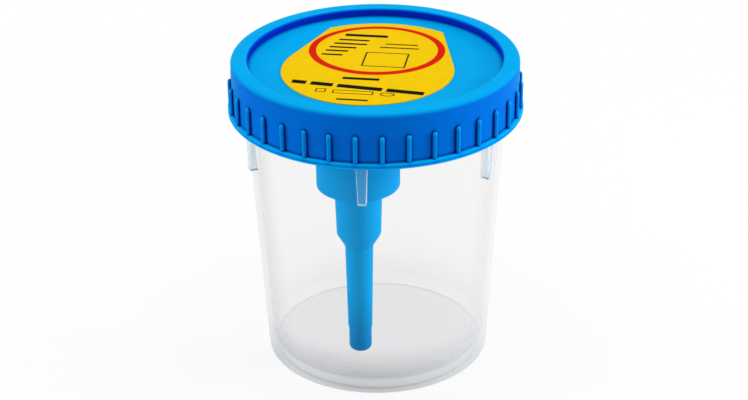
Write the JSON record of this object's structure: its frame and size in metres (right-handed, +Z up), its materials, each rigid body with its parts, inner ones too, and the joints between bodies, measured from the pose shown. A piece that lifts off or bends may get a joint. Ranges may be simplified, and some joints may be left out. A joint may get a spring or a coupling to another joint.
{
  "type": "specimen container",
  "caption": "Tapered cup with a screw lid whose off-centre well holds a sleeved cannula and a straw reaching the floor, under a peel-off seal.",
  "frame": {"origin": "centre of the cup's foot ring, on the surface the container stands on", "axes": "+Z up along the cup's axis; -Y towards the front; the well lies towards -X and -Y of the axis"},
  "size_m": [0.07, 0.07, 0.0765],
  "materials": {
    "cup_plastic": "clear, slightly milky moulded plastic",
    "lid_plastic": "satin bright blue moulded plastic",
    "seal_film": "smooth printed film",
    "straw_plastic": "satin blue moulded plastic",
    "hub_plastic": "natural white moulded plastic",
    "cannula_steel": "drawn stainless tube",
    "sleeve_rubber": "soft matt rubber"
  },
  "bodies": {
    "cup": {"cup": "cup_plastic"},
    "lid": {"lid": "lid_plastic", "peel_seal": "seal_film", "straw": "straw_plastic", "needle_hub": "hub_plastic", "needle": "cannula_steel", "needle_sleeve": "sleeve_rubber"}
  },
  "joints": [
    {"name": "lid_lift", "type": "slide", "parent": "cup", "child": "lid", "axis": [0, 0, 1], "range_m": [0, 0.076]}
  ]
}
